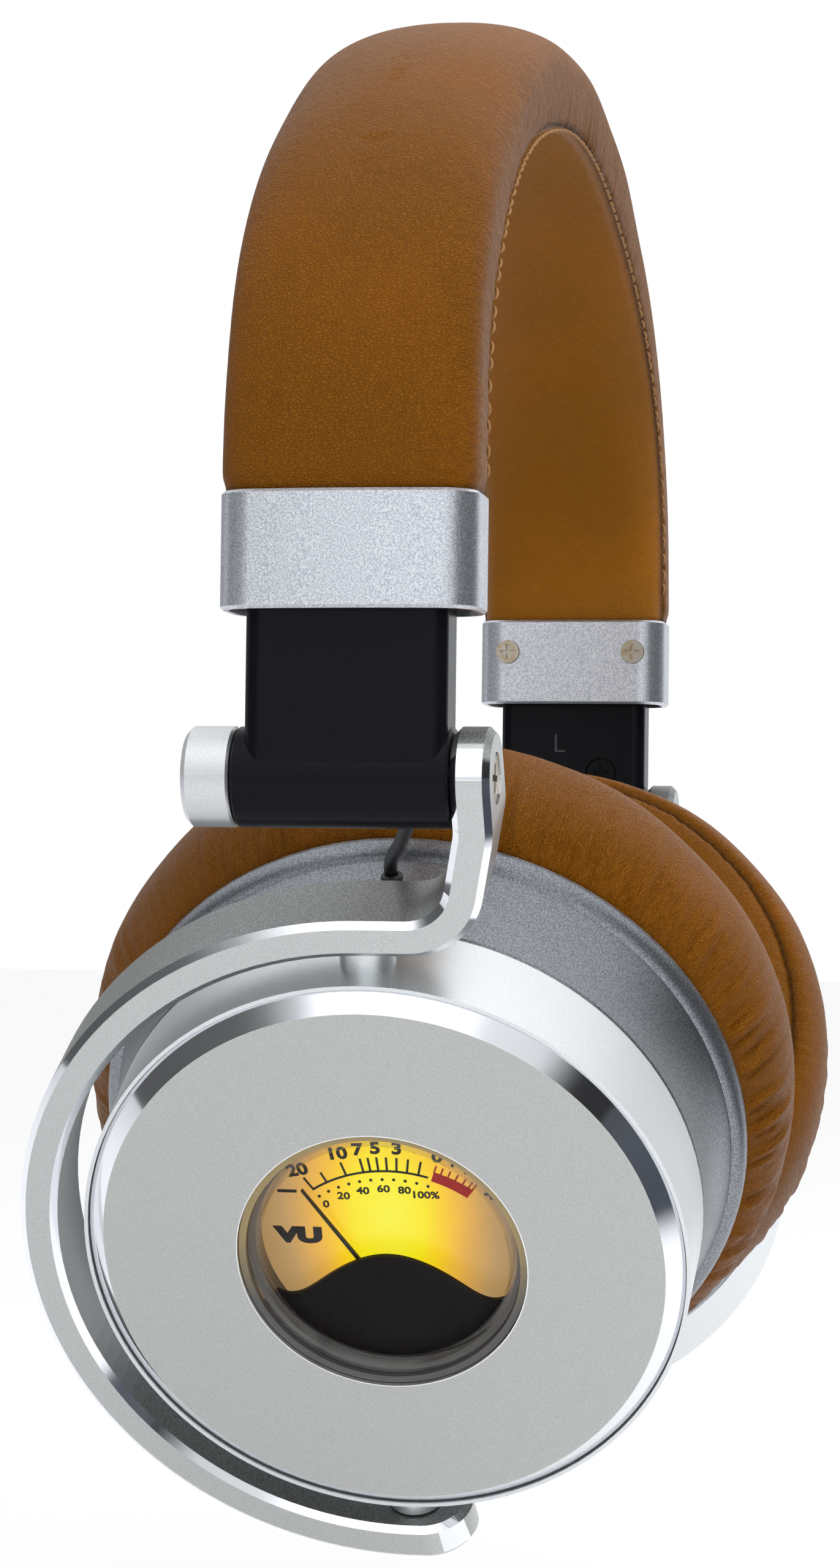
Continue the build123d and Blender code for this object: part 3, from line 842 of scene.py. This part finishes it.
def cover_outline(distance):
    """Cross-section of the cover from one seam over the outside to the other."""
    seam = seam_place(distance)
    tuck = end_tuck(distance)
    half_width = collar_half_width - 0.45 * crown_share(distance) - tuck
    outer = cover_rise - 0.35 * crown_share(distance) ** 3 - tuck
    power = 4.2 - 1.95 * from_collar(distance, 20, 55)
    outline = []
    for i in range(side_points):
        share = 1 - i / side_points
        across = half_width - (half_width - seam.x) * share ** 2
        outline.append(Vector((across, seam.y * share)))
    for i in range(arch_points + 1):
        angle = pi * i / arch_points
        c, s = cos(angle), sin(angle)
        across = half_width * math.copysign(abs(c) ** (2 / power), c)
        outline.append(Vector((across, outer * abs(s) ** (2 / power))))
    for i in reversed(range(side_points)):
        outline.append(outline[i] * Vector((-1, 1)))
    return outline


def pucker(distance, side, from_seam):
    """Small gathers square to the seam, fading away from it."""
    spot = Vector((distance * 0.55, side * 7.0, 0))
    gather = noise.noise(spot) * 0.5 + noise.noise(spot * 2.3) * 0.35
    region = 0.35 + 0.9 * abs(noise.noise(Vector((distance * 0.035, side * 3.0, 4))))
    region += 0.5 * crown_share(distance) ** 6
    return gather * region * falloff(from_seam, 4.2)


def gather_weight(distance, side, from_seam):
    """How strongly the leather is drawn into fine lines towards the seam."""
    drift = 0.55 + 0.8 * noise.noise(Vector((distance * 0.022, side * 5.0, 1.5)))
    drift += 0.45 * crown_share(distance) ** 6
    return max(0.0, min(1.0, drift)) * 1.5 * falloff(from_seam, 10.0)


def cover_lift(distance, across, side, from_seam):
    """How far the cover's skin stands off its smooth outline, in mm."""
    lift = 0.18 * noise.noise(Vector((distance * 0.06, across * 0.12, side * 2)))
    lift += 0.85 * pucker(distance, side, from_seam)
    return lift - 0.9 * falloff(from_seam, 0.8)


def make_cover():
    """Outer leather: wraps the band's outside and both edges, and tucks in at the seams."""
    vertices = []
    uvs_at = []
    seam_shadows = []
    gathers = []
    for station in stations:
        distance = station[2]
        outline = cover_outline(distance)
        steps = [0.0] + [(b - a).length for a, b in zip(outline, outline[1:])]
        walked = [sum(steps[:k + 1]) for k in range(len(steps))]
        for point, along in zip(outline, walked):
            from_seam = min(along, walked[-1] - along)
            side = 1 if along < walked[-1] / 2 else -1
            radial = Vector((point.x / skin_across ** 2, point.y / skin_outward ** 2))
            place = point + radial.normalized() * cover_lift(distance, point.x, side, from_seam)
            vertices.append(band_point(station, place.x, place.y))
            uvs_at.append((along, distance))
            # weight of the painted shadow along the seams
            seam_shadows.append(falloff(from_seam, 0.45))
            gathers.append(gather_weight(distance, side, from_seam))
        for point, along in zip(reversed(outline), reversed(walked)):
            vertices.append(band_point(station, point.x * 0.86, point.y * 0.72))
            uvs_at.append((along, distance))
        seam_shadows.extend([0.0] * len(outline))
        gathers.extend([0.0] * len(outline))
    piece = band_piece("headband_leather", vertices, uvs_at, 2 * len(outline), tan)
    mark_points(piece, "seam", seam_shadows)
    mark_points(piece, "gather", gathers)
    return piece


def make_pad():
    """Inner cushion between the two seams, bulged towards the head."""
    vertices = []
    uvs_at = []
    seam_shadows = []
    for station in stations:
        distance = station[2]
        seam = seam_place(distance)
        away = from_collar(distance, 8, 45)
        depth = pad_depth + 1.35 * crown_share(distance) - end_tuck(distance)
        depth = max(depth, abs(seam.y) + 0.5)
        fullness = 9.0 - 6.4 * away
        for j in range(pad_points + 1):
            even = 1 - 2 * j / pad_points
            share = even + 0.22 * sin(pi * even)
            share = math.copysign(min(abs(share), 1.0), share)
            from_seam = (1 - abs(share)) * seam.x
            side = 1 if share > 0 else -1
            drop = abs(seam.y) + (depth - abs(seam.y)) * (1 - abs(share) ** fullness)
            drop += 0.3 * pucker(distance + 40, side, from_seam)
            drop -= 0.8 * falloff(from_seam, 0.8)
            vertices.append(band_point(station, seam.x * 0.985 * share, -drop))
            uvs_at.append((seam.x * share, distance))
            # weight of the painted shadow along the seams
            seam_shadows.append(falloff(from_seam, 0.4))
        for j in range(pad_points + 1):
            share = -1 + 2 * j / pad_points
            vertices.append(band_point(station, seam.x * 0.94 * share, seam.y * 0.5))
            uvs_at.append((seam.x * share, distance))
        seam_shadows.extend([0.0] * (pad_points + 1))
    piece = band_piece("headband_cushion", vertices, uvs_at, 2 * (pad_points + 1), pad_tan)
    mark_points(piece, "seam", seam_shadows)
    return piece


def band_piece(name, vertices, uvs_at, points, material):
    """Closed tube through every station, capped at both collars."""
    faces = tube_faces(len(stations), points)
    uvs = [uvs_at[index] for face in faces for index in face]
    piece = mesh_object(name, vertices, faces, material, uvs)
    face_outwards(piece)
    return piece


def add_stitch(vertices, faces, station, side):
    """One thread stitch: a short bowed rod with tapering ends, standing off the seam."""
    middle, normal, distance = station
    seam = seam_place(distance)
    tangent = Vector((normal.y, -normal.x))
    base = len(vertices)
    for ring in range(stitch_rings):
        share = ring / (stitch_rings - 1) * 2 - 1
        thick = 0.20 * math.sqrt(max(1 - share ** 4, 0.02))
        lift = 0.28 - 0.25 * share ** 2
        place = (middle + tangent * share * 0.95, normal)
        for k in range(stitch_sides):
            turn = k * 2 * pi / stitch_sides
            across = seam.x - 0.2 + lift + thick * cos(turn)
            outward = seam.y - lift * 0.4 + 0.2 + thick * sin(turn)
            vertices.append(band_point(place, side * across, outward))
    for face in tube_faces(stitch_rings, stitch_sides):
        faces.append(tuple(base + index for index in face))


def make_stitches():
    """Thread lying in both seams of the headband."""
    vertices = []
    faces = []
    for side in (1, -1):
        for i in range(1, int(band_length / stitch_pitch)):
            share = i * stitch_pitch / band_length
            station = stations[min(round(share * (band_rings - 1)), band_rings - 1)]
            add_stitch(vertices, faces, station, side)
    piece = mesh_object("headband_stitches", vertices, faces, thread)
    face_outwards(piece)
    return piece


# ======== meter print
def flat_prism(form, cup, corners):
    """Thin prism on the dial from (across, up) corners in mm."""
    bottom = [form.verts.new(cup.face(x, y, print_low)) for x, y in corners]
    top = [form.verts.new(cup.face(x, y, print_high)) for x, y in corners]
    count = len(corners)
    form.faces.new(bottom[::-1])
    form.faces.new(top)
    for i in range(count):
        form.faces.new((bottom[i], bottom[(i + 1) % count], top[(i + 1) % count], top[i]))


def scale_angle(share):
    """Direction from the scale's centre: share 0 is no signal and 1 is the 0 mark, in radians."""
    return radians(scale_low_angle - scale_degrees * share)


def on_scale(share, radius):
    """(across, up) at a share of the scale."""
    angle = scale_angle(share)
    return scale_centre[0] + radius * cos(angle), scale_centre[1] + radius * sin(angle)


def level_share(level):
    """Share of the scale at a level in decibels."""
    return ((10 ** (level / 20) - 0.1) / 0.9) ** 0.82


def add_arc(form, cup, start, end, radius, width):
    """Band along the scale between two shares of it."""
    steps = 28
    outer = radius + width
    for i in range(steps):
        a = start + (end - start) * i / steps
        b = start + (end - start) * (i + 1) / steps
        corners = (on_scale(a, radius), on_scale(b, radius), on_scale(b, outer), on_scale(a, outer))
        flat_prism(form, cup, corners)


def add_tick(form, cup, share, radius, length, width):
    """Line outwards from a radius, at a share of the scale."""
    angle = scale_angle(share)
    side = Vector((-sin(angle), cos(angle))) * width / 2
    low = Vector(on_scale(share, radius))
    high = Vector(on_scale(share, radius + length))
    flat_prism(form, cup, (low - side, low + side, high + side, high - side))


def lettering(text, size, offset, extrude, resolution=12):
    """Mesh of a line of letters, centred and lying in the XY plane."""
    curve = bpy.data.curves.new("lettering", "FONT")
    curve.body = text
    curve.align_x = "CENTER"
    curve.align_y = "CENTER"
    curve.size = size
    curve.offset = offset
    curve.extrude = extrude
    curve.resolution_u = resolution
    holder = placed("lettering", curve)
    mesh = bpy.data.meshes.new_from_object(evaluated(holder))
    bpy.data.objects.remove(holder)
    return mesh


def add_text(form, cup, text, spot, size, turn=0.0, bold=0.06, wide=1.18):
    """Upright lettering laid on the dial round a spot, as a thin solid."""
    half_depth = (print_high - print_low) / 2
    mesh = lettering(text, size, bold * size / 2, half_depth, 4)
    turned = Matrix.Rotation(turn, 2)
    for vertex in mesh.vertices:
        flat = turned @ vertex.co.xy
        across, up = spot[0] + flat.x * wide, spot[1] + flat.y
        vertex.co = cup.face(across, up, print_low + half_depth + vertex.co.z)
    form.from_mesh(mesh)
    bpy.data.meshes.remove(mesh)


def finished_form(form, name, material):
    """Piece from a bmesh, its faces turned outwards."""
    bmesh.ops.recalc_face_normals(form, faces=form.faces)
    mesh = bpy.data.meshes.new(name)
    form.to_mesh(mesh)
    form.free()
    mesh.materials.append(material)
    return placed(name, mesh)


def add_levels(form, cup):
    """Arc, ticks and numbers of the level scale, in decibels."""
    add_arc(form, cup, 0.0, 0.98, scale_radius, 0.28)
    long_marks = {-20: "20", -10: "10", -7: "7", -5: "5", -3: "3", 0: "0"}
    for level in (-20, -15, -10, -7, -6, -5, -4, -3, -2, -1):
        length = 2.0 if level in long_marks or level > -10 else 1.6
        add_tick(form, cup, level_share(level), scale_radius, length, 0.27)
    for level, text in {**long_marks, 1: "1", 2: "2", 3: "3"}.items():
        spot = on_scale(level_share(level), scale_radius + 3.2)
        turn = (scale_angle(level_share(level)) - pi / 2) * 0.4
        add_text(form, cup, text, spot, 2.15 if level <= 0 else 1.7, turn, 0.08)


def add_percentages(form, cup):
    """Dots and numbers of the percentage scale, inside the level scale."""
    for tenth in range(11):
        x, y = on_scale(tenth / 10, scale_radius - 1.0)
        ring = [(x + 0.2 * cos(k * pi / 5), y + 0.2 * sin(k * pi / 5)) for k in range(10)]
        flat_prism(form, cup, ring)
    for percent in (0, 20, 40, 60, 80, 100):
        spot = on_scale(percent / 100, scale_radius - 2.3)
        add_text(form, cup, f"{percent}" if percent < 100 else "100%", spot, 1.3)


def make_dial_print(cup):
    """Black scale, numbers and percentage dots, and the red overload band."""
    black_form = bmesh.new()
    add_levels(black_form, cup)
    add_percentages(black_form, cup)
    add_text(black_form, cup, "VU", (-10.9, -0.5), 2.7, 0.0, 0.16, 1.5)
    flat_prism(black_form, cup, ((-13.0, 5.4), (-10.7, 5.4), (-10.7, 5.8), (-13.0, 5.8)))
    add_text(black_form, cup, "+", (12.3, 5.7), 2.6)
    red_form = bmesh.new()
    add_arc(red_form, cup, 1.01, level_share(2.8), scale_radius - 0.2, 1.3)
    for level in (0.12, 0.6, 1.1, 1.6, 2.1, 2.5, 2.75):
        add_tick(red_form, cup, level_share(level), scale_radius + 1.0, 1.0, 0.2)
    return (
        finished_form(black_form, f"{cup.side}_dial_marks", ink),
        finished_form(red_form, f"{cup.side}_dial_red_band", red_ink),
    )


# ======== cables and small marks
def tube(name, points, radius, material):
    """Closed round tube through a smooth line of points."""
    rings = 48
    around = 16
    path = []
    for i in range(rings + 1):
        t = i / rings * (len(points) - 1)
        k = min(int(t), len(points) - 2)
        t -= k
        p = [Vector(points[min(max(k + j - 1, 0), len(points) - 1)]) for j in range(4)]
        path.append(curve_point(p, t))
    vertices = []
    side = Vector((0, 1, 0))
    for i, middle in enumerate(path):
        tangent = (path[min(i + 1, rings)] - path[max(i - 1, 0)]).normalized()
        side = (side - tangent * side.dot(tangent)).normalized()
        other = tangent.cross(side)
        for k in range(around):
            turn = 2 * pi * k / around
            vertices.append(middle + (side * cos(turn) + other * sin(turn)) * radius)
    piece = mesh_object(name, vertices, tube_faces(rings + 1, around), material)
    face_outwards(piece)
    return piece


def make_cable(cup):
    """Lead from the cup's grommet up into the barrel, in two lengths that meet at the yoke."""
    fold = Vector(joints[f"{cup.side}_fold"]["pos_m"])
    start = cup.place(0, 34.0, -grommet_depth)
    leave = cup.place(0.0, 39.5, -grommet_depth)
    enter = fold + Vector((0, -6.5 * mm, -4.6 * mm))
    inside = fold + Vector((0, -6.8 * mm, -2.0 * mm))
    middle = leave.lerp(enter, 0.5) + Vector((0, 0, -0.3 * mm))
    lower = tube(f"{cup.side}_cable_lower", (start, leave, middle), cable_radius * mm, rubber)
    upper = tube(f"{cup.side}_cable_upper", (middle, enter, inside), cable_radius * mm, rubber)
    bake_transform(lower)
    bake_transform(upper)
    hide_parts(f"{cup.side}_link_cable")


def make_side_mark(side):
    """L or R pressed into the inner face of an arm."""
    arm_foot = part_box(f"{side}_slider_arm")[0][2]
    inward = 1 if side == "right" else -1
    arm_inner = -inward * (hinge_x - arm_half_thickness) * mm
    middle = Vector((arm_inner, 2.0 * mm, arm_foot + 17.6 * mm))
    thin = 0.03 * mm
    mesh = lettering(side[0].upper(), 4.2 * mm, -thin, thin)
    for vertex in mesh.vertices:
        across, up, out = vertex.co
        vertex.co = middle + Vector((inward * out, inward * across, up))
    mesh.materials.append(grey_mark)
    piece = placed(f"{side}_arm_mark", mesh)
    face_outwards(piece)
    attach(piece, f"{side}_slider")


# ======== stage
def make_floor():
    """Pale plane that reads white, with a dark card that only the metal reflects."""
    level = lowest - floor_drop
    turns = ((-1, -1), (1, -1), (1, 1), (-1, 1))
    corners = [(x * floor_reach, y * floor_reach, level) for x, y in turns]
    look = Shading("pale_floor")
    mottle = look.grain(6.0, 3.0)
    tone = look.mix(mottle, (0.66, 0.66, 0.67), (0.70, 0.70, 0.71))
    pale = look.principled(tone, Roughness=0.75)
    white = look.node("Emission", {"Color": (1, 1, 1, 1), "Strength": 1.0}).outputs[0]
    x, y, _ = look.split(look.position())
    ahead = look.times(y, -1.0)
    bearing = look.math("DIVIDE", x, ahead)
    wedge = look.math("SUBTRACT", look.step(bearing, -1.2, -0.9), look.step(bearing, 0.3, 0.6))
    flag = look.times(wedge, look.step(ahead, 0.15, 0.22))
    dark_card = look.principled((0.02, 0.025, 0.035), Roughness=0.8)
    ray = look.node("LightPath").outputs
    in_metal = look.times(flag, ray["Is Glossy Ray"])
    unseen = look.blend(in_metal, pale, dark_card)
    seen = look.blend(0.82, pale, white)
    material = look.finish(look.blend(ray["Is Camera Ray"], unseen, seen))
    mesh_object("floor", corners, [(0, 1, 2, 3)], material, smooth=False)


def make_world():
    """White studio for the camera; soft boxes and dark flags for reflections."""
    world = bpy.data.worlds.new("studio")
    scene.world = world
    sky = Nodes(world, "World")
    x, y, z = sky.split(sky.node("TexCoord").outputs["Generated"])
    level_length = sky.radius(x, y)

    def towards(azimuth, half, soft=6):
        """1 within half degrees of an azimuth, 0 well outside it."""
        turn = radians(azimuth)
        along = sky.plus(sky.times(x, cos(turn)), sky.times(y, sin(turn)))
        cosine = sky.math("DIVIDE", along, level_length)
        return sky.step(cosine, cos(radians(half + soft)), cos(radians(half - soft)))

    level = sky.plus(sky.times(sky.step(z, -0.1, 0.9), 0.52), 0.60)
    for azimuth, half, gain in soft_boxes:
        level = sky.plus(level, sky.times(towards(azimuth, half), gain))
    below = sky.math("SUBTRACT", 1.0, sky.step(z, 0.32, 0.62))
    for azimuth, half, depth in dark_flags:
        flag = sky.times(sky.times(towards(azimuth, half), below), depth)
        level = sky.times(level, sky.math("SUBTRACT", 1.0, flag))
    lit = sky.node("Background", {"Strength": level, "Color": (0.96, 0.98, 1.0, 1)}).outputs[0]
    seen = sky.node("Background", {"Color": (1, 1, 1, 1)}).outputs[0]
    is_camera = sky.node("LightPath").outputs["Is Camera Ray"]
    sky.finish(sky.blend(is_camera, lit, seen))


# azimuth and half width in degrees, then how much brighter or darker the studio is there
soft_boxes = ((172, 30, 0.45), (-18, 14, 0.3))
dark_flags = ((-90, 44, 0.95), (118, 34, 0.85), (50, 18, 0.5))


def aim(thing, place, target):
    """Stand a thing at a place, looking at the target."""
    thing.location = place
    thing.rotation_euler = (Vector(target) - Vector(place)).to_track_quat("-Z", "Y").to_euler()


def make_lights():
    """Key, fill and rim panels; the world alone shows in reflections."""
    middle = (cad_bounds[0][0] * 0.4, 0, lowest * 0.5)
    for name, place, size, power in (
        ("key", (-0.40, -0.45, 0.95), 0.7, 7.0),
        ("fill", (-0.9, -0.5, 0.2), 0.6, 2.0),
        ("rim", (0.6, -0.5, 0.6), 0.5, 5.0),
    ):
        light = bpy.data.lights.new(name, "AREA")
        light.size = size
        light.energy = power
        holder = placed(name, light)
        aim(holder, place, middle)
        holder.visible_glossy = False


camera_place = (-0.4853, -0.0801, -0.1033)
camera_forward = (0.9831, 0.1795, 0.0355)
camera_up = (-0.0372, 0.0062, 0.9993)
camera_lens = 84.375
camera_sensor = 36.0


def make_camera():
    """Level view from the wearer's right and a little to the front."""
    forward = Vector(camera_forward).normalized()
    right = forward.cross(Vector(camera_up)).normalized()
    up = right.cross(forward)
    camera_data = bpy.data.cameras.new("camera")
    camera_data.lens = camera_lens
    camera_data.sensor_width = camera_sensor
    camera = placed("camera", camera_data)
    axes = Matrix((right, up, -forward)).transposed().to_4x4()
    camera.matrix_world = Matrix.Translation(camera_place) @ axes
    scene.camera = camera


# ======== build
dress_frame()

right_cushion = make_cushion(cups["right"])
left_cushion = mirrored(right_cushion, "left_ear_cushion")
for side, piece in (("right", right_cushion), ("left", left_cushion)):
    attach(piece, f"{side}_cup")
    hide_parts(f"{side}_cushion")

cover = make_cover()
pad = make_pad()
stitches = make_stitches()
for piece, slot in ((cover, "tan_leather"), (pad, "pad_leather"), (stitches, "tan_leather")):
    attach(piece, "headband")
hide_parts("headband_cover")
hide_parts("headband_pad")

for side in sides:
    for piece in make_dial_print(cups[side]):
        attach(piece, f"{side}_cup")
    make_cable(cups[side])
    make_side_mark(side)

make_floor()
make_world()
make_lights()
make_camera()
scene.view_settings.view_transform = "Standard"
bpy.context.view_layer.update()
